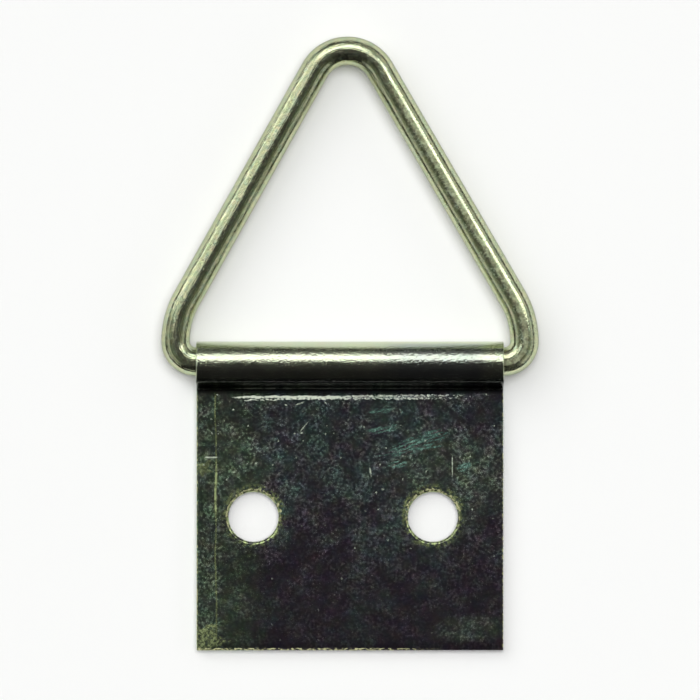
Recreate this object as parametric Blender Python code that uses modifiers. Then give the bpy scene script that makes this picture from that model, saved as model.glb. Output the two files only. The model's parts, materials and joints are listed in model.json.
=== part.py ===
"""Hinged picture hanger: a folded sheet-metal strap, and the triangular wire ring that swings in its fold.

Lengths are in metres and angles in degrees. The strap's back lies on z = 0 and its front faces +Z.
The ring points to +Y. The origin is on the strap's back, on its centre line, level with the screw holes.
"""

import math

import bmesh
import bpy

OBJECT_NAME = "hinged_picture_hanger"

# Strap: one strip of sheet, folded double round the wire
STRAP_WIDTH = 0.0250
SHEET_THICKNESS = 0.0004
LEAF_GAP = 0.0001
HOLE_LINE_TO_BOTTOM = 0.01087
HOLE_LINE_TO_HINGE = 0.01266
SLEEVE_END_ANGLE = 41.0
SHOULDER_RADIUS = 0.0002
RAMP_ANGLE = 80.0
CREASE_RADIUS = 0.0006
EDGE_ROUNDING = 0.00008

# Screw holes, punched from the front through both leaves, a little left of the centre line
HOLE_DIAMETER = 0.00407
HOLE_SPACING = 0.01463
HOLE_PAIR_SHIFT = -0.00055
HOLE_RIM_RADIUS = 0.00025

# Ring: round wire bent into a triangle, leaning a little to the left, its ends meeting inside the sleeve
WIRE_DIAMETER = 0.00234
LEG_ANGLE = 29.72
LEG_LEAN = 0.46
APEX_INSIDE_RADIUS = 0.00188
SHOULDER_INSIDE_RADIUS = 0.0059
CORNER_INSIDE_RADIUS = 0.00048
BUTT_GAP = 0.0003

# Fits between the ring and the sleeve
SLEEVE_PLAY = 0.00038
SEAT_GAP = 0.00007
RING_END_PLAY = 0.00005

# Fineness of the round shapes
ARC_STEP = 5.0
HOLE_SIDES = 48
WIRE_BEVEL_RESOLUTION = 8
EDGE_SEGMENTS = 2
BEVEL_FROM_ANGLE = 60.0

# How far a punch runs past the sheet, and how close points on its axis are merged
PUNCH_OVERRUN = 0.001
AXIS_MERGE = 0.000001

# Bright plating: nickel with a faint olive tint
PLATING_COLOUR = (0.66, 0.68, 0.58, 1.0)
STRAP_ROUGHNESS = 0.30
WIRE_ROUGHNESS = 0.22

# The sleeve lies on the strap's back plane, and the wire is pulled up against the sleeve's top
WIRE_RADIUS = WIRE_DIAMETER / 2
SLEEVE_BORE_RADIUS = WIRE_RADIUS + SLEEVE_PLAY
SLEEVE_Y = HOLE_LINE_TO_HINGE - (SLEEVE_PLAY - SEAT_GAP)
SLEEVE_Z = SLEEVE_BORE_RADIUS + SHEET_THICKNESS
STRAP_FRONT_Z = 2 * SHEET_THICKNESS + LEAF_GAP


def clear_scene():
    for item in list(bpy.data.objects):
        bpy.data.objects.remove(item)


def new_collection(name):
    collection = bpy.data.collections.new(name)
    bpy.context.scene.collection.children.link(collection)
    return collection


def plating(name, roughness):
    """Bright plated metal."""
    material = bpy.data.materials.new(name)
    material.use_nodes = True
    shader = material.node_tree.nodes["Principled BSDF"]
    shader.inputs["Base Color"].default_value = PLATING_COLOUR
    shader.inputs["Metallic"].default_value = 1.0
    shader.inputs["Roughness"].default_value = roughness
    return material


def arc(centre, radius, start, end):
    """Points of a circular arc from one angle to another, both ends included."""
    steps = math.ceil(abs(end - start) / ARC_STEP)
    angles = [math.radians(start + (end - start) * step / steps) for step in range(steps + 1)]
    return [(centre[0] + radius * math.cos(a), centre[1] + radius * math.sin(a)) for a in angles]


def strap_midline():
    """(y, z) points along the middle of the sheet: back leaf, sleeve, shoulder, ramp, crease and front leaf."""
    half = SHEET_THICKNESS / 2
    bottom = -HOLE_LINE_TO_BOTTOM
    front = STRAP_FRONT_Z - half
    loop = SLEEVE_BORE_RADIUS + half
    shoulder = SHOULDER_RADIUS + half
    crease = CREASE_RADIUS + half
    sleeve_end = math.radians(SLEEVE_END_ANGLE)
    ramp = math.radians(RAMP_ANGLE)
    shoulder_y = SLEEVE_Y - (loop - shoulder) * math.sin(sleeve_end)
    shoulder_z = SLEEVE_Z + (loop - shoulder) * math.cos(sleeve_end)
    ramp_drop = shoulder_z + shoulder * math.cos(ramp) - front - crease * (1 - math.cos(ramp))
    crease_y = shoulder_y - (shoulder + crease) * math.sin(ramp) - ramp_drop / math.tan(ramp)
    points = [(bottom, half)]
    points += arc((SLEEVE_Y, SLEEVE_Z), loop, -90, 90 + SLEEVE_END_ANGLE)
    points += arc((shoulder_y, shoulder_z), shoulder, 90 + SLEEVE_END_ANGLE, 90 + RAMP_ANGLE)[1:]
    points += arc((crease_y, front + crease), crease, RAMP_ANGLE - 90, -90)
    points += [(bottom, front)]
    return points


def strap_mesh():
    """The sheet's middle surface: the midline drawn out across the strap's width."""
    surface = bmesh.new()
    row = [surface.verts.new((-STRAP_WIDTH / 2, y, z)) for y, z in strap_midline()]
    edges = [surface.edges.new(pair) for pair in zip(row, row[1:])]
    drawn = bmesh.ops.extrude_edge_only(surface, edges=edges)["geom"]
    far_row = [item for item in drawn if isinstance(item, bmesh.types.BMVert)]
    bmesh.ops.translate(surface, verts=far_row, vec=(STRAP_WIDTH, 0, 0))
    mesh = bpy.data.meshes.new("strap_plate")
    surface.to_mesh(mesh)
    surface.free()
    mesh.shade_smooth()
    return mesh


def hole_punch(name, x, collection):
    """Turned punch for one screw hole, flared so that the hole's rim is rounded on the front."""
    radius = HOLE_DIAMETER / 2
    flare = radius + HOLE_RIM_RADIUS
    profile = [(0, STRAP_FRONT_Z + PUNCH_OVERRUN), (flare, STRAP_FRONT_Z + PUNCH_OVERRUN)]
    profile += arc((flare, STRAP_FRONT_Z - HOLE_RIM_RADIUS), HOLE_RIM_RADIUS, 90, 180)
    profile += [(radius, -PUNCH_OVERRUN), (0, -PUNCH_OVERRUN)]
    points = [(r, 0, z) for r, z in profile]
    mesh = bpy.data.meshes.new(name)
    mesh.from_pydata(points, [(i, i + 1) for i in range(len(points) - 1)], [])
    punch = bpy.data.objects.new(name, mesh)
    punch.location = (x, 0, 0)
    turn = punch.modifiers.new("Turn", "SCREW")
    turn.steps = HOLE_SIDES
    turn.render_steps = HOLE_SIDES
    turn.use_merge_vertices = True
    turn.merge_threshold = AXIS_MERGE
    punch.hide_render = True
    punch.display_type = "WIRE"
    collection.objects.link(punch)
    return punch


def strap_plate(parts, cutters):
    """Folded strap with its sleeve, its doubled plate and its two screw holes."""
    strap = bpy.data.objects.new("strap_plate", strap_mesh())
    strap.data.materials.append(plating("strap_plating", STRAP_ROUGHNESS))
    sheet = strap.modifiers.new("Sheet", "SOLIDIFY")
    sheet.thickness = SHEET_THICKNESS
    sheet.offset = 0
    sheet.use_even_offset = True
    edges = strap.modifiers.new("Edges", "BEVEL")
    edges.width = min(EDGE_ROUNDING, SHEET_THICKNESS / 3)
    edges.segments = EDGE_SEGMENTS
    edges.limit_method = "ANGLE"
    edges.angle_limit = math.radians(BEVEL_FROM_ANGLE)
    for side, name in ((-1, "hole_punch_left"), (1, "hole_punch_right")):
        hole = strap.modifiers.new(name, "BOOLEAN")
        hole.operation = "DIFFERENCE"
        hole.object = hole_punch(name, HOLE_PAIR_SHIFT + side * HOLE_SPACING / 2, cutters)
    parts.objects.link(strap)
    return strap


def leg_distance(angle, corner, shoulder):
    """Distance of a leg's centre line from the middle of the base bar, where the leg leans in by this angle."""
    lean = math.radians(angle)
    corner_x = STRAP_WIDTH / 2 + RING_END_PLAY
    leg_x = corner_x + corner - shoulder * (1 - math.cos(lean))
    leg_y = corner + shoulder * math.sin(lean)
    return leg_x * math.cos(lean) + leg_y * math.sin(lean)


def apex_centre(left_angle, right_angle, left_distance, right_distance):
    """Point that lies at these distances from both legs' normals, where the apex bend is centred."""
    left = math.radians(left_angle)
    right = math.radians(right_angle)
    spread = math.sin(left + right)
    x = (right_distance * math.sin(left) - left_distance * math.sin(right)) / spread
    y = (right_distance * math.cos(left) + left_distance * math.cos(right)) / spread
    return x, y


def ring_midline():
    """(x, y) points along the wire from one cut end round to the other, from the middle of the base bar."""
    corner = CORNER_INSIDE_RADIUS + WIRE_RADIUS
    shoulder = SHOULDER_INSIDE_RADIUS + WIRE_RADIUS
    apex = APEX_INSIDE_RADIUS + WIRE_RADIUS
    left = LEG_ANGLE - LEG_LEAN
    right = LEG_ANGLE + LEG_LEAN
    left_distance = leg_distance(left, corner, shoulder) - apex
    right_distance = leg_distance(right, corner, shoulder) - apex
    corner_x = STRAP_WIDTH / 2 + RING_END_PLAY
    shoulder_x = corner_x + corner - shoulder
    points = [(BUTT_GAP / 2, 0)]
    points += arc((corner_x, corner), corner, -90, 0)
    points += arc((shoulder_x, corner), shoulder, 0, right)[1:]
    points += arc(apex_centre(left, right, left_distance, right_distance), apex, right, 180 - left)
    points += arc((-shoulder_x, corner), shoulder, 180 - left, 180)
    points += arc((-corner_x, corner), corner, 180, 270)[1:]
    points += [(-BUTT_GAP / 2, 0)]
    return points


def triangle_ring(parts, strap):
    """Wire ring whose origin is the middle of its base bar, on the hinge axis."""
    path = bpy.data.curves.new("triangle_ring", "CURVE")
    path.dimensions = "3D"
    path.bevel_depth = WIRE_RADIUS
    path.bevel_resolution = WIRE_BEVEL_RESOLUTION
    path.use_fill_caps = True
    points = ring_midline()
    spline = path.splines.new("POLY")
    spline.points.add(len(points) - 1)
    for point, (x, y) in zip(spline.points, points):
        point.co = (x, y, 0, 1)
    path.materials.append(plating("wire_plating", WIRE_ROUGHNESS))
    ring = bpy.data.objects.new("triangle_ring", path)
    ring.parent = strap
    ring.location = (0, HOLE_LINE_TO_HINGE, SLEEVE_Z)
    parts.objects.link(ring)
    return ring


def main():
    clear_scene()
    parts = new_collection(OBJECT_NAME)
    cutters = new_collection("cutters")
    cutters.hide_render = True
    strap = strap_plate(parts, cutters)
    triangle_ring(parts, strap)


main()
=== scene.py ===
"""Looks of the hinged picture hanger: a bright-plated sheet strap and its wire ring, lying on a white table.

Lengths are in metres and angles in degrees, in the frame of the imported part. Materials count in millimetres:
- a pair of places, reaches or levels says where a mark begins to show and where it shows in full
- a pair of shares, widths, heights, limits or strengths is for the first and the second of two cases
- noise has a size and a detail, followed by its reach where it wavers, or by two levels where it dapples
- strokes have a length, a width and an angle, followed by two levels of their noise
- an oval mark has a middle x and y, a half length, a half width and an angle
"""

import json
import math

import bmesh
import bpy
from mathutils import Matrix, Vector, noise


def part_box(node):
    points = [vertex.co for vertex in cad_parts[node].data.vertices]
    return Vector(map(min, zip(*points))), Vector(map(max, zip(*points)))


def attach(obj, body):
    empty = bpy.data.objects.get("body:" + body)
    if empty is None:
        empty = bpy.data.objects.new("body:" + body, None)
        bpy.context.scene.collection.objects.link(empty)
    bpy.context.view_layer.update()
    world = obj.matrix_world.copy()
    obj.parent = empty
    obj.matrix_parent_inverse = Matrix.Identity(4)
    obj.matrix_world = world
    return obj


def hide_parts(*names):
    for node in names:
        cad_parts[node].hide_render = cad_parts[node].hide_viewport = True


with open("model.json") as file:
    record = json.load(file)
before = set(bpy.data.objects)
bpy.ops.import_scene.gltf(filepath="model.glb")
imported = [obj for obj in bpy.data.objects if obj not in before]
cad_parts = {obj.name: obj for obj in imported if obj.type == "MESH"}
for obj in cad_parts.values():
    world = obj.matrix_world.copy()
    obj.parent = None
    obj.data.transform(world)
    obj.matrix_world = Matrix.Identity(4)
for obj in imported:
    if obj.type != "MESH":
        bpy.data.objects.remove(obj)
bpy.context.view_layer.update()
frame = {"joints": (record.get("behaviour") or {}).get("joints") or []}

STRAP_LOW, STRAP_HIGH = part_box("strap_plate")
HINGE = Vector(frame["joints"][0]["pos_m"])
MM = 0.001

# Strap sheet, folded double round the wire
SHEET_THICKNESS = 0.40 * MM
LEAF_GAP = 0.10 * MM
SLEEVE_END_ANGLE = 41.0
SHOULDER_RADIUS = 0.40 * MM
RAMP_ANGLE = 80.0
CREASE_RADIUS = 0.80 * MM
EDGE_ROUNDING = 0.06 * MM
EDGE_SEGMENTS = 3
BEVEL_FROM_ANGLE = 60.0
STRAP_COLUMNS = 100
LEAF_ROWS = 20
SLEEVE_ROWS = 66
SHOULDER_ROWS = 10
RAMP_ROWS = 5
CREASE_ROWS = 20
FLANK_ROWS = 14

# Mark of the forming blade along the foot of the ramp
BLADE_MARK_DEPTH = 0.060 * MM
BLADE_MARK_FLANK = 0.28 * MM
BLADE_MARK_LEFT = -9.7 * MM
BLADE_MARK_RIGHT = 9.9 * MM
BLADE_MARK_LEFT_FADE = 0.8 * MM
BLADE_MARK_RIGHT_FADE = 5.0 * MM
BLADE_MARK_RIPPLE = 0.6 * MM
BLADE_MARK_UNEVENNESS = 0.2

# Screw holes
HOLE_DIAMETER = 4.07 * MM
HOLE_SPACING = 14.63 * MM
HOLE_PAIR_SHIFT = -0.55 * MM
HOLE_RIM_RADIUS = 0.25 * MM
HOLE_SIDES = 96
HOLE_RIM_SEGMENTS = 8
PUNCH_OVERRUN = 1.0 * MM
MERGE_DISTANCE = 0.001 * MM

# Ring wire
WIRE_RADIUS = 1.1675 * MM
LEG_ANGLE = 29.72
LEG_LEAN = 0.46
APEX_RADIUS = 3.05 * MM
LEG_BEND_RADIUS = 7.07 * MM
CORNER_RADIUS = 1.65 * MM
RING_END_PLAY = 0.05 * MM
BUTT_GAP = 0.30 * MM
WIRE_END_CHAMFER = 0.15 * MM
WIRE_SIDES = 48
WIRE_BEND_STEP = 2.5
WIRE_RUN_STEP = 0.8 * MM
WIRE_MAP = "wire"

# Sizes that follow from the frame and from the sheet
STRAP_WIDTH = STRAP_HIGH.x - STRAP_LOW.x
SLEEVE_RADIUS = STRAP_HIGH.z / 2
SLEEVE_Y = STRAP_HIGH.y - SLEEVE_RADIUS
STRAP_FRONT_Z = 2 * SHEET_THICKNESS + LEAF_GAP

# Edges of the strap and of a screw hole as the materials count, and a depth so great that z doesn't matter
LOWER_EDGE = STRAP_LOW.y / MM
SIDE_EDGE = STRAP_HIGH.x / MM
HOLE_EDGE = HOLE_DIAMETER / 2 / MM
FLAT_DEPTH = 1000.0

# Plating tints of the strap, its tints at grazing angles, the tints of its worn places, and painted shade
STRAP_VIOLET = (0.41, 0.375, 0.41, 1)
STRAP_TEAL = (0.40, 0.54, 0.48, 1)
STRAP_GREEN = (0.46, 0.61, 0.42, 1)
STRAP_OLIVE = (0.60, 0.66, 0.47, 1)
# Painted shade colour for the bend and the screw holes' lips
PAINTED_SHADE_COLOUR = (0.07, 0.07, 0.065, 1)
STRAP_EDGE_TINT = (1.0, 1.0, 1.0, 1)
# Grazing tint of the bend, lowered as painted shade that dims its reflections
BEND_SHADE_EDGE_TINT = (0.60, 0.60, 0.60, 1)
STRAP_PATINA = (0.44, 0.49, 0.42, 1)
RUBBED_PALE = (0.76, 0.81, 0.67, 1)
WORN_PALE = (0.60, 0.68, 0.54, 1)
WORN_TEAL = (0.28, 0.52, 0.42, 1)
WORN_GOLD = (0.62, 0.62, 0.34, 1)
WORN_OLIVE = (0.44, 0.53, 0.25, 1)

# Regions of the strap
FRONT_FROM_Z = (0.5, 0.7)
FRONT_BELOW_Y = (10.20, 9.95)
# The bend, where painted shade darkens the colour and dims grazing reflections
BEND_FROM_Z = (0.5, 0.8)
BEND_FROM_Y = (10.20, 10.36)
BEND_BELOW_Y = (11.40, 11.10)
SLEEVE_FROM_Y = (11.0, 11.4)

# Mottled roughness of the strap, and the strength of its grain elsewhere and on the front
MOTTLE = (1.2, 3.0, 0.35, 0.65)
STRAP_ROUGHNESS = (0.12, 0.18)
WORN_ROUGHNESS = 0.40
STRAP_GRAIN = (0.15, 1.0)
STRAP_GRAIN_HEIGHT = 0.026 * MM
STRAP_GRAIN_STRENGTHS = (1.0, 0.27)

# Shares at which soft and bright wear have their tints in full
SOFT_WEAR_FULL = 0.1
BRIGHT_WEAR_FULL = 0.2

# Clouds of colour in the plating, flecks of all hues, and the patina on the right of the sleeve
CLOUDS = (2.6, 4.0)
TEAL_FROM_Y = (-9.0, 8.0)
TEAL_SHARES = (-0.14, 0.06)
TEAL_LEVELS = (0.36, 0.66)
GREEN_CLOUDS = (1.6, 3.0)
GREEN_CLOUD_SHIFT = 7.0
GREEN_FROM_X = (-5.0, -11.0)
GREEN_LEVELS = (0.60, 1.30)
DULL_GREEN_SHARE = 0.6
FLECK_SIZE = 0.9
FLECK_DETAIL = 2.0
FLECK_STRENGTH = 0.8
FLECK_BRIGHTNESS = 1.6
FLECK_SHARES = (0.45, 0.12)
PATINA_FROM_X = (1.0, 5.0)
PATINA_TO_X = (11.6, 10.0)
PATINA_FROM_Z = (2.5, 3.0)

# Painted shade: its share, in the bend and on the screw holes' lips, with the lips' widths above and below
PAINTED_SHADE_SHARE = 0.95
# Painted shade on the screw holes' lips, where the holes' walls fall into shade
LIP_REACH = (HOLE_EDGE + 0.08, HOLE_EDGE)
LIP_WIDTHS = (0.04, 0.20)
LIP_BELOW_Y = (0.6, -0.6)

# Haze of the strap, denser above and on the left, and the strokes in it
HAZE_SHARE = 0.26
HAZE_GRAIN = (0.24, 3.0, 0.39, 0.84)
HAZE_CLOUDS = (1.5, 4.0, 0.36, 0.64)
HAZE_CLOUD_SHARES = (0.20, 1.15)
HAZE_FROM_Y = (-10.0, 5.0)
HAZE_HEIGHT_SHARES = (0.27, 1.0)
HAZE_FROM_X = (-9.0, -11.0)
HAZE_STROKES = ((0.9, 0.06, 84, 0.68, 0.84), (0.8, 0.05, 48, 0.68, 0.84))
HAZE_STROKE_SHARE = 0.4
DULL_HAZE_SHARE = 0.45
VEIL_SHARES = (0.02, 0.06)

# Oval marks where the strap's haze is denser
DULL_PLACES = (
    (8.2, 3.2, 6.0, 5.0, 0),
    (-10.0, 3.6, 4.4, 4.6, 0),
    (-11.7, -5.2, 2.0, 5.2, 0),
    (-9.6, -6.8, 2.6, 2.2, 0),
    (9.9, -9.1, 4.0, 1.4, 3),
)

# Lone scratches on the strap's front, as oval marks
SCRATCHES = (
    (-11.25, 4.86, 0.80, 0.09, 0),
    (8.34, 4.15, 1.30, 0.06, 90),
    (1.67, 3.65, 0.50, 0.08, 100),
    (-4.10, 9.25, 0.50, 0.07, 20),
    (-5.22, 9.14, 0.16, 0.08, -20),
    (-3.75, 7.35, 0.70, 0.05, 50),
    (2.68, 2.26, 0.20, 0.12, 8),
    (2.14, 2.00, 0.10, 0.09, 0),
)
SCRATCH_SHARE = 0.60
SCRATCH_BREAKS = (0.25, 1.0, 0.35, 0.60)
SCRATCH_BREAK_SHARES = (0.20, 0.75)

# Soft wipes on the strap's front, as oval marks, and the strokes that they are made of
WIPES = (
    (3.35, 7.33, 0.80, 0.18, 16),
    (2.60, 7.10, 1.60, 0.34, 6),
    (2.60, 8.65, 1.40, 0.28, 4),
    (5.60, 6.05, 3.20, 0.85, 21),
    (5.00, 5.40, 3.70, 0.10, 9),
    (4.00, 4.28, 1.20, 0.36, 2),
    (9.30, 4.10, 0.75, 0.42, 25),
)
WIPE_SHARE = 0.26
WIPE_STROKES = (1.1, 0.16, 17, 0.34, 0.66)
WIPE_DAPPLES = (0.22, 2.0, 0.38, 0.64)
WIPE_DAPPLE_SHARES = (0.35, 1.0)

# Bright specks, with their radii and the reach of their unevenness as shares of the spacing
SPECK_SHARE = 0.6
SPECK_SPACING = 0.625
SPECK_RADII = (0.05, 0.18)
SPECK_UNEVENNESS = (0.10, 1.0, 0.22)
SPECK_LEVELS = (0.60, 0.65)
SPECK_CONTRAST = 4.0
SPECK_FROM_Y = (-9.0, 4.0)
SPECK_HEIGHT_SHARES = (0.25, 1.0)

# Line from the rolling mill, with its half widths and shares elsewhere and on its clear oval stretch
ROLL_LINE_X = -10.90
ROLL_LINE_WANDER = (5.0, 1.0, 0.25)
ROLL_LINE_CLEAR = (ROLL_LINE_X, 2.2, 2.2, 1.0, 90)
ROLL_LINE_WIDTHS = (0.10, 0.14)
ROLL_LINE_CORE = 0.02
ROLL_LINE_SHARES = (0.16, 0.44)
ROLL_LINE_BREAKS = (0.25, 2.0, 0.36, 0.60)
ROLL_LINE_BREAK_SHARES = (0.4, 1.0)

# Burnished lines along the crease: how they waver, slope and shine, and length, width and angle of a bead
BURNISH_WOBBLE = (0.16, 1.0, 0.13)
BURNISH_SWAY = (1.6, 1.0, 0.10)
BURNISH_SLOPE = 0.008
BURNISH_BEAD = (0.26, 0.14, 0)
BURNISH_SHINE = (0.11, 2.0, 0.40, 0.58)
BURNISH_SHINE_SHARES = (0.45, 1.0)

# Upper and lower line, where they run together, and the dull band between them, with reaches up and down
BURNISH_UPPER_Y = 9.84
BURNISH_UPPER_REACH = (0.105, 0.05)
BURNISH_LOWER_Y = 9.61
BURNISH_LOWER_JOINED_Y = 9.68
BURNISH_LOWER_REACH = (0.085, 0.03)
BURNISH_JOINED_Y = 9.78
BURNISH_JOINED_REACH = (0.14, 0.07)
BURNISH_BETWEEN_Y = 9.73
BURNISH_BETWEEN_REACH = (0.17, 0.10)
BURNISH_BETWEEN_SHARE = 0.30

# Noise of the beads: in links of the lower line, on the joined stretch, and at breaks towards the right
BURNISH_LINK_LIMITS = (0.47, 0.40)
BURNISH_LINK_FADE = 0.07
BURNISH_JOINED_LEVELS = (0.38, 0.54)
BURNISH_JOINED_SHARES = (0.25, 1.0)
BURNISH_BROKEN_LIMITS = (0.26, 0.42)
BURNISH_SPARSE_LIMITS = (0.0, 0.16)
BURNISH_BREAK_FADE = 0.09

# Stretches of the burnished lines from left to right
BURNISH_FROM_X = (-9.7, -9.4)
BURNISH_TIP_X = (-9.6, -8.2)
BURNISH_TIP_WIDTHS = (0.25, 1.0)
BURNISH_LOWER_FROM_X = (-8.9, -8.5)
BURNISH_LINKED_FROM_X = (-6.0, -5.0)
BURNISH_JOINED_FROM_X = (-6.2, -4.8)
BURNISH_JOINED_TO_X = (1.5, -1.5)
BURNISH_SHINY_TO_X = (1.0, -2.0)
BURNISH_BROKEN_FROM_X = (-2.5, 1.5)
BURNISH_BETWEEN_FROM_X = (0.0, 2.0)
BURNISH_BETWEEN_TO_X = (8.5, 5.0)
BURNISH_SPARSE_FROM_X = (4.0, 10.0)
BURNISH_TO_X = (12.0, 8.0)

# Golden wear round the screw holes and along the cut edges
GOLD_UNEVENNESS = (0.35, 2.0, 0.22)
GOLD_BEADS = (0.20, 1.0, 0.42, 0.64)
GOLD_BEAD_SHARES = (0.03, 0.58)
GOLD_RIM_OUTER = (HOLE_EDGE + 0.29, HOLE_EDGE + 0.21)
GOLD_RIM_INNER = (HOLE_EDGE + 0.05, HOLE_EDGE + 0.11)
GOLD_ABOVE_Y = (-1.4, 1.2)
GOLD_ABOVE_SHARES = (0.03, 1.0)
GOLD_DASHES = (0.32, 0.12, 0, 0.48, 0.60)
GOLD_DASH_SHARES = (0.06, 0.85)
GOLD_LOWER_Y = (LOWER_EDGE + 0.21, LOWER_EDGE + 0.15)
GOLD_LOWER_TO_X = (9.0, -1.0)
GOLD_SIDE_X = (SIDE_EDGE - 0.12, SIDE_EDGE - 0.06)
GOLD_SIDE_SHARE = 0.28

# Olive halo round the screw holes
HALO_REACH = (HOLE_EDGE + 0.90, HOLE_EDGE + 0.10)
HALO_ABOVE_Y = (-0.5, 1.5)
HALO_SHARES = (0.13, 0.26)
HALO_GRAIN = (0.28, 3.0, 0.40, 0.64)

# Olive stains: middle x and y, half length, half width, size of the raggedness, shares off and on dapples
STAINS = (
    (-11.8, -10.2, 1.6, 1.5, 0.7, (0.03, 0.26)),
    (-11.95, 4.05, 0.66, 0.66, 0.6, (0.07, 0.10)),
)
STAIN_DETAIL = 3.0
STAIN_RAGGEDNESS = 1.2
STAIN_DAPPLES = (0.24, 2.0, 0.40, 0.62)
STAIN_DAPPLE_SHIFT = 5.0

# Share of the way from the middle to the outline at which a stain and an oval mark begin to fade
STAIN_CORE = 0.6
MARK_CORE = 0.5

# Plating tints of the wire
WIRE_OLIVE = (0.69, 0.70, 0.44, 1)
WIRE_GREEN = (0.50, 0.60, 0.41, 1)
WIRE_MOSS = (0.44, 0.47, 0.26, 1)
WIRE_EDGE_TINT = (0.47, 0.47, 0.50, 1)

# Plating of the wire, its lines and blotches given as strokes, and its grain's strength left and right
DRAWN_LINES = (1.5, 0.12, 0, 0.35, 0.65)
DRAWN_TINT_SHARE = 0.4
DRAWN_HEIGHTS = (0.34, 0.14)
BLOTCHES = (3.2, 0.30, 0, 0.40, 0.64)
MOSS_SHARE = 0.45
WIRE_PATCHES = (0.45, 3.0, 0.38, 0.62)
PATCH_TINT_SHARE = 0.6
WIRE_FLECK_SIZE = 0.5
WIRE_FLECK_STRENGTH = 1.0
WIRE_FLECK_SHARE = 0.16
WIRE_ROUGHNESS = (0.10, 0.20)
SAND = (0.16, 2.0)
WIRE_GRAIN_HEIGHT = 0.016 * MM
WIRE_GRAIN_STRENGTHS = (1.0, 0.6)

# Dull haze of the wire, more on the right leg, and its crown, counted round the wire from the outer side
RIGHT_LEG_FROM_X = (1.5, 5.0)
SAND_HAZE_SHARES = (0.10, 0.30)
SAND_HAZE_LEVELS = (0.37, 0.66)
PATCH_HAZE_SHARES = (0.4, 1.0)
CROWN_FROM = (1.44, 1.58)
CROWN_TO = (2.10, 1.80)
CROWN_SHARES = (0.12, 1.0)
CROWN_HAZE_SHARES = (0.26, 0.42)

# White table and the two lamps that light it, their angles being how wide they look from it
TABLE_SIZE = 4.0
TABLE_GAP = 0.02 * MM
TABLE_COLOUR = (0.97, 0.97, 0.97, 1.0)
HIGH_LAMP_LEVEL = 0.54
HIGH_LAMP_FROM = (0.11, 0.12, 1.0)
HIGH_LAMP_ANGLE = 33.0
SLANTED_LAMP_LEVEL = 0.39
SLANTED_LAMP_FROM = (-0.55, 0.55, 1.0)
SLANTED_LAMP_ANGLE = 66.0

# Softboxes that the metal mirrors: place in x and y, width, depth, radiance
SOFTBOX_HEIGHT = 0.6
SOFTBOXES = {
    "main_softbox": ((-0.085, 0.55), 0.73, 0.52, 2.2),
    "weak_softbox": ((-0.70, 0.55), 0.50, 0.52, 0.85),
    "far_softbox": ((-1.35, 0.75), 0.64, 0.36, 2.0),
    "left_softbox": ((-0.26, 0.145), 0.26, 0.15, 1.2),
    "right_softbox": ((0.48, 0.27), 0.42, 0.24, 2.6),
}

# Room light from the horizon to overhead: everywhere, and what is added away from the strap's lower end
ROOM_DIM_LEVELS = (
    (0.00, (0.010, 0.010, 0.010)),
    (0.80, (0.014, 0.013, 0.015)),
    (0.95, (0.020, 0.018, 0.022)),
    (1.00, (0.026, 0.023, 0.029)),
)
ROOM_LIT_LEVELS = (
    (0.00, (0.01, 0.01, 0.01)),
    (0.22, (0.03, 0.03, 0.03)),
    (0.33, (0.59, 0.59, 0.59)),
    (0.47, (0.59, 0.59, 0.59)),
    (0.62, (0.20, 0.22, 0.17)),
    (0.80, (0.067, 0.078, 0.055)),
    (0.95, (0.028, 0.032, 0.024)),
    (1.00, (0.01, 0.01, 0.01)),
)
ROOM_SIDE_WEIGHT = 1.2
ROOM_LIT_FROM = (-0.25, 0.15)
ROOM_AHEAD_FROM = (0.55, 0.92)
ROOM_AHEAD_SHARE = 0.35

# Camera straight above, its frame this wide on the strap
FRAME_WIDTH = 57.05 * MM
FRAME_CENTRE_Y = 13.61 * MM
FRAME_DEPTH = 1.0 * MM
LENS = 500.0
SENSOR = 36.0


def smooth_step(low, high, value):
    """0 below low, 1 above high, and a smooth rise between them."""
    share = min(max((value - low) / (high - low), 0.0), 1.0)
    return share * share * (3 - 2 * share)


def link(item):
    bpy.context.scene.collection.objects.link(item)
    return item


def mesh_object(name, shape):
    """New object from a bmesh, shaded smooth."""
    mesh = bpy.data.meshes.new(name)
    shape.to_mesh(mesh)
    shape.free()
    mesh.shade_smooth()
    return link(bpy.data.objects.new(name, mesh))


def settled(item):
    """The object with its modifiers worked into its mesh."""
    evaluated = item.evaluated_get(bpy.context.evaluated_depsgraph_get())
    mesh = bpy.data.meshes.new_from_object(evaluated)
    item.modifiers.clear()
    item.data = mesh
    return item


def straight(start, end, steps):
    """Points after the start of a straight run, its end included."""
    return [start + (end - start) * (step + 1) / steps for step in range(steps)]


def turned(centre, radius, start, end, steps):
    """Points of an arc from one angle to another, both ends included."""
    angles = [math.radians(start + (end - start) * step / steps) for step in range(steps + 1)]
    return [centre + radius * Vector((math.cos(a), math.sin(a))) for a in angles]


def blade_mark(x):
    """Depth of the forming blade's mark at this place across the strap."""
    rise = smooth_step(BLADE_MARK_LEFT, BLADE_MARK_LEFT + BLADE_MARK_LEFT_FADE, x)
    fall = smooth_step(BLADE_MARK_RIGHT, BLADE_MARK_RIGHT - BLADE_MARK_RIGHT_FADE, x)
    ripple = noise.noise(Vector((x / BLADE_MARK_RIPPLE, 0, 0)))
    return BLADE_MARK_DEPTH * rise * fall * (1 + BLADE_MARK_UNEVENNESS * ripple)


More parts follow.
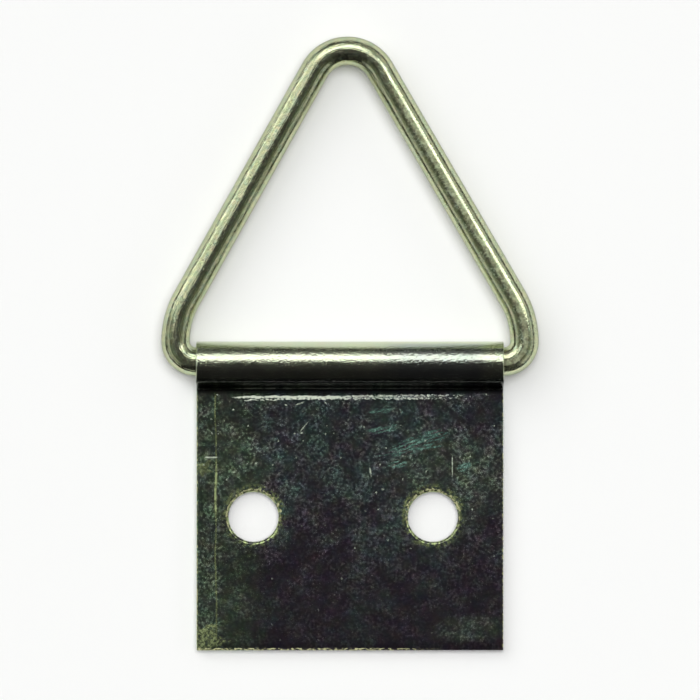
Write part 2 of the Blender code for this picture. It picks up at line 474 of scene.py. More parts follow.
def sleeve_midline():
    """(y, z) points along the middle of the sheet: back leaf, sleeve and shoulder."""
    half = SHEET_THICKNESS / 2
    bottom = Vector((STRAP_LOW.y, half))
    sleeve = Vector((SLEEVE_Y, SLEEVE_RADIUS))
    loop = SLEEVE_RADIUS - half
    end = math.radians(90 + SLEEVE_END_ANGLE)
    shoulder = sleeve + (loop - SHOULDER_RADIUS) * Vector((math.cos(end), math.sin(end)))
    points = [bottom]
    points += straight(bottom, Vector((SLEEVE_Y, half)), LEAF_ROWS)
    points += turned(sleeve, loop, -90, 90 + SLEEVE_END_ANGLE, SLEEVE_ROWS)[1:]
    points += turned(shoulder, SHOULDER_RADIUS, 90 + SLEEVE_END_ANGLE, 90 + RAMP_ANGLE, SHOULDER_ROWS)[1:]
    return points


def front_midline(start):
    """(y, z) points along the middle of the sheet (ramp, crease and front leaf), and the crease's own y."""
    front = STRAP_FRONT_Z - SHEET_THICKNESS / 2
    ramp = math.radians(RAMP_ANGLE)
    ramp_drop = start.y - front - CREASE_RADIUS * (1 - math.cos(ramp))
    crease_y = start.x - CREASE_RADIUS * math.sin(ramp) - ramp_drop / math.tan(ramp)
    bend_middle = Vector((crease_y, front + CREASE_RADIUS))
    crease = turned(bend_middle, CREASE_RADIUS, RAMP_ANGLE - 90, -90, CREASE_ROWS)
    flank_end = Vector((crease_y - 2 * BLADE_MARK_FLANK, front))
    points = straight(start, crease[0], RAMP_ROWS) + crease[1:]
    points += straight(points[-1], flank_end, FLANK_ROWS)
    points += straight(flank_end, Vector((STRAP_LOW.y, front)), LEAF_ROWS)
    return points, crease_y


def pressed(point, crease_y, depth):
    """A point of the front, pushed down by the blade, most at the crease and less on either side of it."""
    above = smooth_step(crease_y + BLADE_MARK_FLANK, crease_y, point.x)
    below = min(max((point.x - crease_y) / BLADE_MARK_FLANK + 1, 0), 1)
    return point.x, point.y - depth * above * below


def strap_sheet():
    """The sheet's middle surface, a net of columns across the strap."""
    sleeve = sleeve_midline()
    front, crease_y = front_midline(sleeve[-1])
    shape = bmesh.new()
    columns = []
    for column in range(STRAP_COLUMNS + 1):
        x = STRAP_LOW.x + STRAP_WIDTH * column / STRAP_COLUMNS
        depth = blade_mark(x)
        line = [tuple(point) for point in sleeve] + [pressed(point, crease_y, depth) for point in front]
        columns.append([shape.verts.new((x, y, z)) for y, z in line])
    for near, far in zip(columns, columns[1:]):
        for row in range(len(near) - 1):
            shape.faces.new((near[row], far[row], far[row + 1], near[row + 1]))
    return mesh_object("strap", shape)


def hole_punch(x):
    """Turned punch for one screw hole, flared so that the hole's rim is rounded on the front."""
    radius = HOLE_DIAMETER / 2
    flare = radius + HOLE_RIM_RADIUS
    rim = Vector((flare, STRAP_FRONT_Z - HOLE_RIM_RADIUS))
    profile = [Vector((0, STRAP_FRONT_Z + PUNCH_OVERRUN)), Vector((flare, STRAP_FRONT_Z + PUNCH_OVERRUN))]
    profile += turned(rim, HOLE_RIM_RADIUS, 90, 180, HOLE_RIM_SEGMENTS)
    profile += [Vector((radius, -PUNCH_OVERRUN)), Vector((0, -PUNCH_OVERRUN))]
    shape = bmesh.new()
    points = [shape.verts.new((x + r, 0, z)) for r, z in profile]
    edges = [shape.edges.new(pair) for pair in zip(points, points[1:])]
    bmesh.ops.spin(
        shape, geom=points + edges, cent=(x, 0, 0), axis=(0, 0, 1), angle=2 * math.pi,
        steps=HOLE_SIDES, use_merge=True,
    )
    bmesh.ops.remove_doubles(shape, verts=shape.verts, dist=MERGE_DISTANCE)
    bmesh.ops.recalc_face_normals(shape, faces=shape.faces)
    return mesh_object("punch", shape)


def strap_piece():
    """Folded strap with its rounded edges and its two screw holes."""
    strap = strap_sheet()
    sheet = strap.modifiers.new("Sheet", "SOLIDIFY")
    sheet.thickness = SHEET_THICKNESS
    sheet.offset = 0
    sheet.use_even_offset = True
    edges = strap.modifiers.new("Edges", "BEVEL")
    edges.width = EDGE_ROUNDING
    edges.segments = EDGE_SEGMENTS
    edges.limit_method = "ANGLE"
    edges.angle_limit = math.radians(BEVEL_FROM_ANGLE)
    edges.use_clamp_overlap = False
    punches = [hole_punch(HOLE_PAIR_SHIFT + side * HOLE_SPACING / 2) for side in (-1, 1)]
    for punch in punches:
        hole = strap.modifiers.new("Hole", "BOOLEAN")
        hole.operation = "DIFFERENCE"
        hole.object = punch
    shading = strap.modifiers.new("Shading", "WEIGHTED_NORMAL")
    shading.keep_sharp = True
    settled(strap)
    for punch in punches:
        bpy.data.objects.remove(punch)
    return strap


def leg_distance(angle):
    """Distance of a leg's centre line from the base bar's middle, where the leg leans in by this angle."""
    lean = math.radians(angle)
    corner_x = STRAP_WIDTH / 2 + RING_END_PLAY
    leg_x = corner_x + CORNER_RADIUS - LEG_BEND_RADIUS * (1 - math.cos(lean))
    leg_y = CORNER_RADIUS + LEG_BEND_RADIUS * math.sin(lean)
    return leg_x * math.cos(lean) + leg_y * math.sin(lean)


def apex_centre(left_angle, right_angle):
    """Middle of the apex bend, which is as far inside both legs as its radius."""
    left = math.radians(left_angle)
    right = math.radians(right_angle)
    left_distance = leg_distance(left_angle) - APEX_RADIUS
    right_distance = leg_distance(right_angle) - APEX_RADIUS
    spread = math.sin(left + right)
    x = (right_distance * math.sin(left) - left_distance * math.sin(right)) / spread
    y = (right_distance * math.cos(left) + left_distance * math.cos(right)) / spread
    return Vector((x, y))


def bend(centre, radius, start, end):
    steps = math.ceil(abs(end - start) / WIRE_BEND_STEP)
    return turned(centre, radius, start, end, steps)


def run(points, target):
    """The points, carried on in a straight run to the target."""
    steps = math.ceil((target - points[-1]).length / WIRE_RUN_STEP)
    return points + straight(points[-1], target, steps)


def ring_midline():
    """(x, y) points along the wire from one cut end to the other, counted from the base bar's middle."""
    left = LEG_ANGLE - LEG_LEAN
    right = LEG_ANGLE + LEG_LEAN
    corner_x = STRAP_WIDTH / 2 + RING_END_PLAY
    shoulder_x = corner_x + CORNER_RADIUS - LEG_BEND_RADIUS
    bends = [
        bend(Vector((corner_x, CORNER_RADIUS)), CORNER_RADIUS, -90, 0),
        bend(Vector((shoulder_x, CORNER_RADIUS)), LEG_BEND_RADIUS, 0, right),
        bend(apex_centre(left, right), APEX_RADIUS, right, 180 - left),
        bend(Vector((-shoulder_x, CORNER_RADIUS)), LEG_BEND_RADIUS, 180 - left, 180),
        bend(Vector((-corner_x, CORNER_RADIUS)), CORNER_RADIUS, 180, 270),
    ]
    points = [Vector((BUTT_GAP / 2, 0))]
    for arc in bends:
        points = run(points, arc[0]) + arc[1:]
    return run(points, Vector((-BUTT_GAP / 2, 0)))


def wire_rings(points):
    """(centre, across, radius) of each ring of the wire's skin, with a chamfer at both cut ends."""
    rings = []
    for index, point in enumerate(points):
        before = points[max(index - 1, 0)]
        after = points[min(index + 1, len(points) - 1)]
        along = (after - before).normalized()
        rings.append((point, Vector((along.y, -along.x)), WIRE_RADIUS))
    for end, inward in ((0, 1), (-1, -1)):
        centre, across, radius = rings[end]
        along = Vector((-across.y, across.x)) * inward
        rings[end] = (centre + along * WIRE_END_CHAMFER, across, radius)
        rings.insert(end if end == 0 else len(rings), (centre, across, radius - WIRE_END_CHAMFER))
    return rings


def map_wire(shape, faces):
    """Map of the wire in millimetres: along it and round it."""
    layer = shape.loops.layers.uv.new(WIRE_MAP)
    for face, corners in faces:
        for loop, corner in zip(face.loops, corners):
            loop[layer].uv = corner


def ring_piece():
    """Wire bent into a triangle, with its two cut ends inside the sleeve."""
    shape = bmesh.new()
    hoops = wire_rings(ring_midline())
    turn = [2 * math.pi * side / WIRE_SIDES for side in range(WIRE_SIDES)]
    rings = []
    lengths = [0.0]
    for centre, across, radius in hoops:
        out = [across * radius * math.cos(a) for a in turn]
        up = [radius * math.sin(a) for a in turn]
        rings.append([
            shape.verts.new((centre.x + o.x, HINGE.y + centre.y + o.y, HINGE.z + u))
            for o, u in zip(out, up)
        ])
    for before, after in zip(hoops, hoops[1:]):
        lengths.append(lengths[-1] + (after[0] - before[0]).length / MM)
    arc = 2 * math.pi * WIRE_RADIUS / WIRE_SIDES / MM
    mapped = []
    for near, far, start, end in zip(rings, rings[1:], lengths, lengths[1:]):
        for side in range(WIRE_SIDES):
            after = (side + 1) % WIRE_SIDES
            face = shape.faces.new((near[side], far[side], far[after], near[after]))
            low = side * arc
            high = low + arc
            mapped.append((face, ((start, low), (end, low), (end, high), (start, high))))
    map_wire(shape, mapped)
    shape.faces.new(rings[0])
    shape.faces.new(reversed(rings[-1]))
    return mesh_object("ring", shape)


class Shading:
    """Shader nodes of one material or world, with short calls for the steps of its patterns."""

    def __init__(self, tree):
        self.tree = tree

    def node(self, kind, inputs, **settings):
        """New node. An input given as a socket is linked, and any other value is set."""
        item = self.tree.nodes.new("ShaderNode" + kind)
        for name, value in settings.items():
            setattr(item, name, value)
        for name, value in inputs.items():
            self.feed(item.inputs[name], value)
        return item

    def feed(self, socket, value):
        if isinstance(value, bpy.types.NodeSocket):
            self.tree.links.new(value, socket)
        else:
            socket.default_value = value

    def math(self, operation, first, second=0.0):
        return self.node("Math", {0: first, 1: second}, operation=operation).outputs[0]

    def folded(self, operation, values):
        """One value from many, taken together one after another."""
        result = values[0]
        for value in values[1:]:
            result = self.math(operation, result, value)
        return result

    def plus(self, *values):
        return self.folded("ADD", values)

    def times(self, *values):
        return self.folded("MULTIPLY", values)

    def most(self, *values):
        return self.folded("MAXIMUM", values)

    def minus(self, first, second):
        return self.math("SUBTRACT", first, second)

    def off(self, value, middle):
        """How far a value is from a middle one, on either side."""
        return self.math("ABSOLUTE", self.minus(value, middle))

    def rise(self, value, low, high):
        """0 where the value is short of low, 1 past high, and smooth between. High may be the lesser."""
        inputs = {"Value": value, "From Min": low, "From Max": high}
        return self.node("MapRange", inputs, interpolation_type="SMOOTHSTEP").outputs["Result"]

    def spread(self, share, low, high):
        """Number that goes from low to high as the share goes from 0 to 1."""
        return self.node("MapRange", {"Value": share, "To Min": low, "To Max": high}).outputs["Result"]

    def mix(self, share, first, second, blend="MIX"):
        """First colour with a share of the second one, mixed in or blended over it in another way."""
        inputs = {0: share, 6: first, 7: second}
        return self.node("Mix", inputs, data_type="RGBA", blend_type=blend).outputs[2]

    def place(self):
        """Place on the piece in millimetres."""
        spot = self.node("TexCoord", {}).outputs["Object"]
        return self.node("VectorMath", {0: spot, "Scale": 1 / MM}, operation="SCALE").outputs[0]

    def shifted(self, place, distance):
        """Place moved along z, where noise is another one."""
        return self.node("VectorMath", {0: place, 1: (0, 0, distance)}, operation="ADD").outputs[0]

    def axes(self, place):
        return self.node("SeparateXYZ", {"Vector": place}).outputs

    def grain(self, place, size, detail):
        """Noise whose coarsest features have this size, with finer ones as far as the detail goes."""
        return self.node("TexNoise", {"Vector": place, "Scale": 1 / size, "Detail": detail}).outputs[0]

    def waver(self, place, size, detail, reach):
        """Noise of this size that reaches this far to either side of 0."""
        return self.spread(self.grain(place, size, detail), -reach, reach)

    def dapple(self, place, size, detail, low, high):
        """0 to 1 in dapples of this size, as noise goes from low to high."""
        return self.rise(self.grain(place, size, detail), low, high)

    def hues(self, place, size, strength):
        """Many-coloured noise round white, whose features have this size."""
        noise_node = self.node("TexNoise", {"Vector": place, "Scale": 1 / size, "Detail": FLECK_DETAIL})
        inputs = {"Color": noise_node.outputs["Color"], "Saturation": strength, "Value": FLECK_BRIGHTNESS}
        return self.node("HueSaturation", inputs).outputs[0]

    def framed(self, place, x, y, half_length, half_width, angle):
        """Place counted from a mark's middle, in halves of its length and width."""
        inputs = {
            "Vector": place, "Location": (x, y, 0), "Rotation": (0, 0, math.radians(angle)),
            "Scale": (half_length, half_width, FLAT_DEPTH),
        }
        return self.node("Mapping", inputs, vector_type="TEXTURE").outputs[0]

    def reach(self, place, x, y, half_length, half_width, angle):
        """0 in a mark's middle and 1 on its outline, an oval."""
        framed = self.framed(place, x, y, half_length, half_width, angle)
        return self.node("VectorMath", {0: framed}, operation="LENGTH").outputs["Value"]

    def patch(self, place, *mark):
        """1 on an oval mark, fading to 0 at its outline."""
        return self.rise(self.reach(place, *mark), 1.0, MARK_CORE)

    def patches(self, place, marks):
        """1 on the oval marks of a list, fading to 0 at their outlines."""
        return self.most(*[self.patch(place, *mark) for mark in marks])

    def stain(self, place, x, y, half_length, half_width, size):
        """1 on a mark with a ragged outline, whose raggedness has this size."""
        oval = self.reach(place, x, y, half_length, half_width, 0)
        ragged = self.waver(place, size, STAIN_DETAIL, STAIN_RAGGEDNESS)
        return self.rise(self.plus(oval, ragged), 1.0, STAIN_CORE)

    def strokes(self, place, length, width, angle, low, high):
        """Fine strokes of about this length and width, as noise goes from low to high."""
        return self.dapple(self.framed(place, 0, 0, length, width, angle), 1.0, 1.0, low, high)

    def bumps(self, height, strength, distance):
        """Normal of a surface with bumps as high as the distance, where the height is 1."""
        return self.node("Bump", {"Height": height, "Strength": strength, "Distance": distance}).outputs[0]


def new_material(name):
    """New node material with its shading and its shader."""
    material = bpy.data.materials.new(name)
    material.use_nodes = True
    return material, Shading(material.node_tree), material.node_tree.nodes["Principled BSDF"]


def front_leaf(shading, place):
    """1 on the front leaf below the crease, 0 elsewhere on the strap."""
    x, y, z = shading.axes(place)
    return shading.times(shading.rise(z, *FRONT_FROM_Z), shading.rise(y, *FRONT_BELOW_Y))


def painted_shade_bend(shading, place):
    """Painted shade of the bend between the sleeve and the crease: 1 inside it, 0 elsewhere on the strap."""
    x, y, z = shading.axes(place)
    band = shading.times(shading.rise(y, *BEND_FROM_Y), shading.rise(y, *BEND_BELOW_Y))
    return shading.times(band, shading.rise(z, *BEND_FROM_Z))


def hole_distance(shading, place):
    """Distance from the middle of the nearer screw hole."""
    x, y, z = shading.axes(place)
    flat = shading.node("CombineXYZ", {"X": shading.off(x, HOLE_PAIR_SHIFT / MM), "Y": y}).outputs[0]
    middle = (HOLE_SPACING / 2 / MM, 0, 0)
    return shading.node("VectorMath", {0: flat, 1: middle}, operation="DISTANCE").outputs["Value"]


def strap_tint(shading, place):
    """Thin colours in the plating: violet, teal and green clouds, an olive sleeve and flecks of all hues."""
    x, y, z = shading.axes(place)
    height = shading.spread(shading.rise(y, *TEAL_FROM_Y), *TEAL_SHARES)
    teal = shading.rise(shading.plus(shading.grain(place, *CLOUDS), height), *TEAL_LEVELS)
    tint = shading.mix(teal, STRAP_VIOLET, STRAP_TEAL)
    clouds = shading.grain(shading.shifted(place, GREEN_CLOUD_SHIFT), *GREEN_CLOUDS)
    green = shading.rise(shading.plus(clouds, shading.rise(x, *GREEN_FROM_X)), *GREEN_LEVELS)
    tint = shading.mix(green, tint, STRAP_GREEN)
    dull = shading.times(shading.patches(place, DULL_PLACES), DULL_GREEN_SHARE)
    tint = shading.mix(dull, tint, STRAP_GREEN)
    sleeve = shading.rise(y, *SLEEVE_FROM_Y)
    tint = shading.mix(sleeve, tint, STRAP_OLIVE)
    patina = shading.times(sleeve, shading.rise(x, *PATINA_FROM_X), shading.rise(x, *PATINA_TO_X))
    tint = shading.mix(shading.times(patina, shading.rise(z, *PATINA_FROM_Z)), tint, STRAP_PATINA)
    flecks = shading.hues(place, FLECK_SIZE, FLECK_STRENGTH)
    return shading.mix(shading.spread(sleeve, *FLECK_SHARES), tint, flecks, "MULTIPLY")


def painted_shade_places(shading, place):
    """Share of painted shade: 1 in the bend and on the lips of the screw holes, 0 elsewhere."""
    below = shading.rise(shading.axes(place)["Y"], *LIP_BELOW_Y)
    # Painted shade on the lips round the screw holes, wider below them
    lip = shading.minus(hole_distance(shading, place), shading.spread(below, *LIP_WIDTHS))
    return shading.most(painted_shade_bend(shading, place), shading.rise(lip, *LIP_REACH))


def strap_haze(shading, place):
    """Dull grain in clouds, with short fine strokes in it, and a faint veil on the dull places."""
    x, y, z = shading.axes(place)
    grain = shading.dapple(place, *HAZE_GRAIN)
    clouds = shading.spread(shading.dapple(place, *HAZE_CLOUDS), *HAZE_CLOUD_SHARES)
    height = shading.spread(shading.rise(y, *HAZE_FROM_Y), *HAZE_HEIGHT_SHARES)
    strokes = shading.most(*[shading.strokes(place, *kind) for kind in HAZE_STROKES])
    fine = shading.plus(grain, shading.times(strokes, HAZE_STROKE_SHARE))
    dull = shading.patches(place, DULL_PLACES)
    share = shading.most(height, shading.rise(x, *HAZE_FROM_X))
    share = shading.plus(share, shading.times(dull, DULL_HAZE_SHARE))
    veil = shading.times(dull, shading.spread(clouds, *VEIL_SHARES))
    return shading.plus(shading.times(fine, clouds, share), veil)


def strap_specks(shading, place):
    """Small bright dots strewn over the sheet, as large and as bright as chance has it, fainter below."""
    scale = 1 / SPECK_SPACING
    cells = shading.node("TexVoronoi", {"Vector": place, "Scale": scale}, voronoi_dimensions="2D")
    red, green, blue = shading.node("SeparateColor", {"Color": cells.outputs["Color"]}).outputs
    reach = shading.plus(cells.outputs["Distance"], shading.waver(place, *SPECK_UNEVENNESS))
    dots = shading.rise(reach, shading.spread(blue, *SPECK_RADII), 0.0)
    bright = shading.math("POWER", green, SPECK_CONTRAST)
    height = shading.rise(shading.axes(place)["Y"], *SPECK_FROM_Y)
    height = shading.spread(height, *SPECK_HEIGHT_SHARES)
    return shading.times(dots, shading.rise(red, *SPECK_LEVELS), bright, height)


def roll_line(shading, place):
    """Upright line from the rolling mill near the left edge, clearest beside the hole."""
    wander = shading.waver(place, *ROLL_LINE_WANDER)
    offset = shading.off(shading.plus(shading.axes(place)["X"], wander), ROLL_LINE_X)
    breaks = shading.spread(shading.dapple(place, *ROLL_LINE_BREAKS), *ROLL_LINE_BREAK_SHARES)
    clear = shading.patch(place, *ROLL_LINE_CLEAR)
    line = shading.rise(offset, shading.spread(clear, *ROLL_LINE_WIDTHS), ROLL_LINE_CORE)
    return shading.times(line, breaks, shading.spread(clear, *ROLL_LINE_SHARES))


def burnish_lines(shading, x, level, beads):
    """Upper line with a pointed left end, beaded lower line, and the stretch where they run together."""
    tip = shading.spread(shading.rise(x, *BURNISH_TIP_X), *BURNISH_TIP_WIDTHS)
    upper = shading.math("DIVIDE", shading.off(level, BURNISH_UPPER_Y), tip)
    upper = shading.rise(upper, *BURNISH_UPPER_REACH)
    joined = shading.times(shading.rise(x, *BURNISH_JOINED_FROM_X), shading.rise(x, *BURNISH_JOINED_TO_X))
    lower = shading.off(level, shading.spread(joined, BURNISH_LOWER_Y, BURNISH_LOWER_JOINED_Y))
    lower = shading.rise(lower, *BURNISH_LOWER_REACH)
    gaps = shading.spread(shading.rise(x, *BURNISH_LINKED_FROM_X), *BURNISH_LINK_LIMITS)
    links = shading.rise(shading.minus(beads, gaps), 0.0, BURNISH_LINK_FADE)
    lower = shading.times(lower, shading.rise(x, *BURNISH_LOWER_FROM_X), links)
    filled = shading.rise(shading.off(level, BURNISH_JOINED_Y), *BURNISH_JOINED_REACH)
    knots = shading.spread(shading.rise(beads, *BURNISH_JOINED_LEVELS), *BURNISH_JOINED_SHARES)
    return shading.most(upper, lower, shading.times(filled, joined, knots))


def blade_burnish(shading, place):
    """Bright lines that the forming blade rubbed along the crease, broken into beads towards the right."""
    x, y, z = shading.axes(place)
    level = shading.plus(y, shading.waver(place, *BURNISH_WOBBLE), shading.waver(place, *BURNISH_SWAY))
    level = shading.minus(level, shading.times(x, BURNISH_SLOPE))
    beads = shading.grain(shading.framed(place, 0, 0, *BURNISH_BEAD), 1.0, 1.0)
    broken = shading.spread(shading.rise(x, *BURNISH_BROKEN_FROM_X), *BURNISH_BROKEN_LIMITS)
    sparse = shading.spread(shading.rise(x, *BURNISH_SPARSE_FROM_X), *BURNISH_SPARSE_LIMITS)
    solid = shading.minus(beads, shading.plus(broken, sparse))
    solid = shading.rise(solid, 0.0, BURNISH_BREAK_FADE)
    shine = shading.spread(shading.dapple(place, *BURNISH_SHINE), *BURNISH_SHINE_SHARES)
    full = shading.most(shine, shading.rise(x, *BURNISH_SHINY_TO_X))
    lines = shading.times(burnish_lines(shading, x, level, beads), solid, full)
    between = shading.rise(shading.off(level, BURNISH_BETWEEN_Y), *BURNISH_BETWEEN_REACH)
    between = shading.times(between, shine, shading.rise(x, *BURNISH_BETWEEN_FROM_X))
    between = shading.times(between, shading.rise(x, *BURNISH_BETWEEN_TO_X), BURNISH_BETWEEN_SHARE)
    ends = shading.times(shading.rise(x, *BURNISH_FROM_X), shading.rise(x, *BURNISH_TO_X))
    return shading.times(shading.most(lines, between), ends)


def strap_gold(shading, place):
    """Pale golden wear: beads round the screw holes, more above them, and broken lines along cut edges."""
    x, y, z = shading.axes(place)
    reach = shading.plus(hole_distance(shading, place), shading.waver(place, *GOLD_UNEVENNESS))
    beads = shading.dapple(place, *GOLD_BEADS)
    above = shading.spread(shading.rise(y, *GOLD_ABOVE_Y), *GOLD_ABOVE_SHARES)
    rim = shading.times(shading.rise(reach, *GOLD_RIM_OUTER), shading.rise(reach, *GOLD_RIM_INNER))
    rim = shading.times(rim, shading.spread(beads, *GOLD_BEAD_SHARES), above)
    dashes = shading.spread(shading.strokes(place, *GOLD_DASHES), *GOLD_DASH_SHARES)
    lower = shading.times(shading.rise(y, *GOLD_LOWER_Y), shading.rise(x, *GOLD_LOWER_TO_X), dashes)
    sides = shading.rise(shading.math("ABSOLUTE", x), *GOLD_SIDE_X)
    return shading.most(rim, lower, shading.times(sides, beads, GOLD_SIDE_SHARE))


def strap_olive(shading, place):
    """Olive wear: the roll line, a halo round the holes, a worn lower left corner and a spot higher up."""
    grain = shading.dapple(place, *HALO_GRAIN)
    above = shading.spread(shading.rise(shading.axes(place)["Y"], *HALO_ABOVE_Y), *HALO_SHARES)
    halo = shading.times(shading.rise(hole_distance(shading, place), *HALO_REACH), grain, above)
    dapple = shading.dapple(shading.shifted(place, STAIN_DAPPLE_SHIFT), *STAIN_DAPPLES)
    stains = [
        shading.times(shading.stain(place, *mark), shading.spread(dapple, *shares))
        for *mark, shares in STAINS
    ]
    return shading.most(roll_line(shading, place), halo, *stains)


def strap_scratches(shading, place):
    """The lone scratches, broken by chance."""
    broken = shading.spread(shading.dapple(place, *SCRATCH_BREAKS), *SCRATCH_BREAK_SHARES)
    return shading.times(shading.patches(place, SCRATCHES), broken)


def strap_wipes(shading, place):
    """The soft wipe marks, made of fine strokes."""
    strokes = shading.strokes(place, *WIPE_STROKES)
    dapple = shading.spread(shading.dapple(place, *WIPE_DAPPLES), *WIPE_DAPPLE_SHARES)
    return shading.times(shading.patches(place, WIPES), strokes, dapple)


def strap_material():
    """Bright plated sheet: mirror-dark with a fine haze, and dull where it is scratched and worn."""
    material, shading, shader = new_material("plated_strap")
    place = shading.place()
    front = front_leaf(shading, place)
    rubbed = shading.times(blade_burnish(shading, place), front)
    scratched = shading.times(strap_scratches(shading, place), SCRATCH_SHARE)
    specked = shading.times(strap_specks(shading, place), SPECK_SHARE)
    pale = shading.times(shading.most(scratched, specked), front)
    gold = shading.times(strap_gold(shading, place), front)
    olive = shading.times(strap_olive(shading, place), front)
    wiped = shading.times(strap_wipes(shading, place), front, WIPE_SHARE)
    haze = shading.times(strap_haze(shading, place), HAZE_SHARE, front)
    worn = shading.most(pale, gold, olive, rubbed, wiped)
    # Painted shade: dark colour in the bend and on the screw holes' lips
    dark = shading.times(painted_shade_places(shading, place), PAINTED_SHADE_SHARE)
    colour = shading.mix(dark, strap_tint(shading, place), PAINTED_SHADE_COLOUR)
    colour = shading.mix(shading.rise(wiped, 0.0, SOFT_WEAR_FULL), colour, WORN_TEAL)
    colour = shading.mix(shading.rise(olive, 0.0, SOFT_WEAR_FULL), colour, WORN_OLIVE)
    colour = shading.mix(shading.rise(gold, 0.0, BRIGHT_WEAR_FULL), colour, WORN_GOLD)
    colour = shading.mix(shading.rise(pale, 0.0, BRIGHT_WEAR_FULL), colour, WORN_PALE)
    colour = shading.mix(rubbed, colour, RUBBED_PALE)
    # Painted shade: grazing reflections dimmed in the bend
    edge_tint_and_bend_shade = shading.mix(painted_shade_bend(shading, place), STRAP_EDGE_TINT, BEND_SHADE_EDGE_TINT)
    mottle = shading.spread(shading.dapple(place, *MOTTLE), *STRAP_ROUGHNESS)
    grain = shading.grain(place, *STRAP_GRAIN)
    strength = shading.spread(front, *STRAP_GRAIN_STRENGTHS)
    shading.feed(shader.inputs["Base Color"], colour)
    shading.feed(shader.inputs["Specular Tint"], edge_tint_and_bend_shade)
    shading.feed(shader.inputs["Metallic"], shading.spread(shading.plus(haze, worn), 1.0, 0.0))
    shading.feed(shader.inputs["Roughness"], shading.plus(mottle, shading.times(worn, WORN_ROUGHNESS)))
    shading.feed(shader.inputs["Normal"], shading.bumps(grain, strength, STRAP_GRAIN_HEIGHT))
    return material


def wire_crown(shading, along, right):
    """1 on the dull band along the crown of the right leg, faint elsewhere along the crown."""
    turn = shading.axes(along)["Y"]
    band = shading.times(shading.rise(turn, *CROWN_FROM), shading.rise(turn, *CROWN_TO))
    return shading.times(band, shading.spread(right, *CROWN_SHARES))


def wire_material():
    """Bright plated drawn wire: olive, with mossy blotches, drawn lines and sandy grain, duller at right."""
    material, shading, shader = new_material("plated_wire")
    along = shading.node("UVMap", {}, uv_map=WIRE_MAP).outputs[0]
    place = shading.place()
    right = shading.rise(shading.axes(place)["X"], *RIGHT_LEG_FROM_X)
    crown = wire_crown(shading, along, right)
    drawn = shading.strokes(along, *DRAWN_LINES)
    blotches = shading.strokes(along, *BLOTCHES)
    patches = shading.dapple(place, *WIRE_PATCHES)
    sand = shading.grain(place, *SAND)
    tint = shading.plus(shading.times(drawn, DRAWN_TINT_SHARE), shading.times(patches, PATCH_TINT_SHARE))
    flecks = shading.hues(place, WIRE_FLECK_SIZE, WIRE_FLECK_STRENGTH)
    moss = shading.times(shading.most(blotches, crown), MOSS_SHARE)
    colour = shading.mix(tint, WIRE_OLIVE, WIRE_GREEN)
    colour = shading.mix(WIRE_FLECK_SHARE, colour, flecks, "MULTIPLY")
    colour = shading.mix(moss, colour, WIRE_MOSS)
    haze = shading.times(shading.spread(right, *SAND_HAZE_SHARES), shading.rise(sand, *SAND_HAZE_LEVELS))
    haze = shading.times(haze, shading.spread(patches, *PATCH_HAZE_SHARES))
    haze = shading.plus(haze, shading.times(crown, shading.spread(patches, *CROWN_HAZE_SHARES)))
    grain = shading.plus(sand, shading.times(drawn, shading.spread(right, *DRAWN_HEIGHTS)))
    strength = shading.spread(right, *WIRE_GRAIN_STRENGTHS)
    shading.feed(shader.inputs["Base Color"], colour)
    shading.feed(shader.inputs["Specular Tint"], WIRE_EDGE_TINT)
    shading.feed(shader.inputs["Metallic"], shading.spread(haze, 1.0, 0.0))
    shading.feed(shader.inputs["Roughness"], shading.spread(tint, *WIRE_ROUGHNESS))
    shading.feed(shader.inputs["Normal"], shading.bumps(grain, strength, WIRE_GRAIN_HEIGHT))
    return material


def table_material():
    """Plain white paper."""
    material, shading, shader = new_material("white_table")
    shading.tree.nodes.remove(shader)
    paper = shading.node("BsdfDiffuse", {"Color": TABLE_COLOUR})
    shading.feed(shading.tree.nodes["Material Output"].inputs["Surface"], paper.outputs[0])
    return material


def floor():
    """White table just under the strap's back."""
    shape = bmesh.new()
    bmesh.ops.create_grid(shape, x_segments=1, y_segments=1, size=TABLE_SIZE / 2)
    bmesh.ops.translate(shape, verts=shape.verts, vec=(0, 0, -TABLE_GAP))
    table = mesh_object("table", shape)
    table.data.materials.append(table_material())


def softbox(name, place, width, depth, radiance):
    """Flat lamp facing down for the metal to mirror, as bright all over as the radiance says."""
    lamp = bpy.data.lights.new(name, "AREA")
    lamp.shape = "RECTANGLE"
    lamp.size = width
    lamp.size_y = depth
    lamp.energy = radiance * math.pi * width * depth
    item = link(bpy.data.objects.new(name, lamp))
    item.location = (*place, SOFTBOX_HEIGHT)
    item.visible_camera = False
    item.visible_diffuse = False


def table_lamp(name, level, source, angle):
    """Soft lamp that lights the table and casts the object's shadow, and that metal doesn't mirror."""
    lamp = bpy.data.lights.new(name, "SUN")
    lamp.energy = level * math.pi
    lamp.angle = math.radians(angle)
    item = link(bpy.data.objects.new(name, lamp))
    item.rotation_euler = Vector(source).to_track_quat("Z", "Y").to_euler()
    item.visible_camera = False
    item.visible_glossy = False


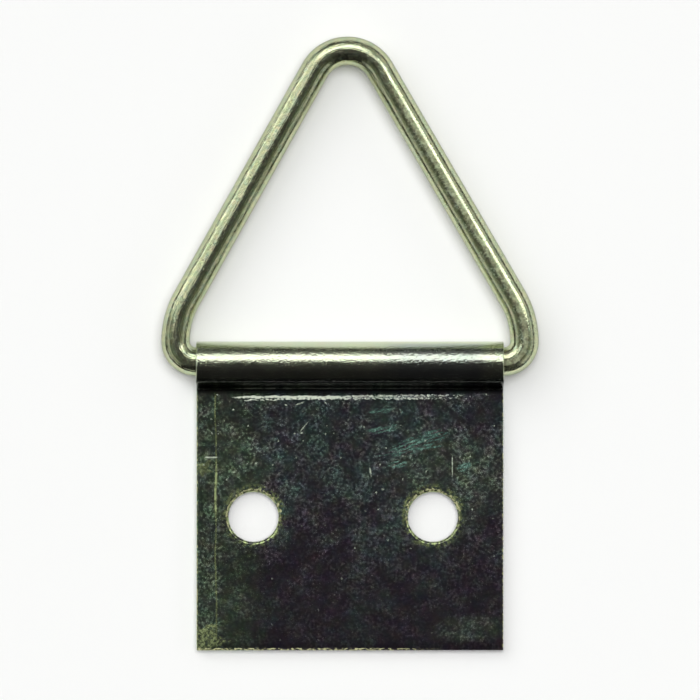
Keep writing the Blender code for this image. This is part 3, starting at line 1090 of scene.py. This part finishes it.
def levels_by_height(shading, height, levels):
    """Colour that goes through these levels as the height goes from 0 to 1."""
    ramp = shading.node("ValToRGB", {"Fac": height})
    elements = ramp.color_ramp.elements
    while len(elements) < len(levels):
        elements.new(0.5)
    for element, (place, colour) in zip(elements, levels):
        element.position = place
        element.color = (*colour, 1)
    return ramp.outputs["Color"]


def room():
    """Dim room, lighter between the horizon and overhead except on the side of the strap's lower end."""
    world = bpy.data.worlds.new("room")
    world.use_nodes = True
    bpy.context.scene.world = world
    shading = Shading(world.node_tree)
    direction = shading.node("TexCoord", {}).outputs["Generated"]
    x, y, z = shading.axes(direction)
    aside = shading.times(shading.math("ABSOLUTE", x), ROOM_SIDE_WEIGHT)
    lit = shading.rise(shading.plus(y, aside), *ROOM_LIT_FROM)
    ahead = shading.rise(y, *ROOM_AHEAD_FROM)
    lit = shading.times(lit, shading.spread(ahead, 1.0, ROOM_AHEAD_SHARE))
    dim_levels = levels_by_height(shading, z, ROOM_DIM_LEVELS)
    lit_levels = levels_by_height(shading, z, ROOM_LIT_LEVELS)
    background = world.node_tree.nodes["Background"]
    shading.feed(background.inputs["Color"], shading.mix(lit, dim_levels, lit_levels, "ADD"))


def studio():
    """Softboxes for the metal, lamps for the table, and a dim room."""
    for name, box in SOFTBOXES.items():
        softbox(name, *box)
    table_lamp("high_lamp", HIGH_LAMP_LEVEL, HIGH_LAMP_FROM, HIGH_LAMP_ANGLE)
    table_lamp("slanted_lamp", SLANTED_LAMP_LEVEL, SLANTED_LAMP_FROM, SLANTED_LAMP_ANGLE)
    room()


def camera():
    """Camera straight above, far off with a long lens."""
    view = bpy.data.cameras.new("camera")
    view.lens = LENS
    view.sensor_width = SENSOR
    item = link(bpy.data.objects.new("camera", view))
    item.location = (0, FRAME_CENTRE_Y, FRAME_DEPTH + FRAME_WIDTH * LENS / SENSOR)
    bpy.context.scene.camera = item


def dress(piece, node, body, material):
    """Gives a piece its material and puts it in place of its part."""
    piece.data.materials.clear()
    piece.data.materials.append(material)
    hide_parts(node)
    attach(piece, body)


def main():
    bpy.context.scene.view_settings.view_transform = "Standard"
    dress(strap_piece(), "strap_plate", "strap", strap_material())
    dress(ring_piece(), "triangle_ring", "ring", wire_material())
    floor()
    studio()
    camera()


main()
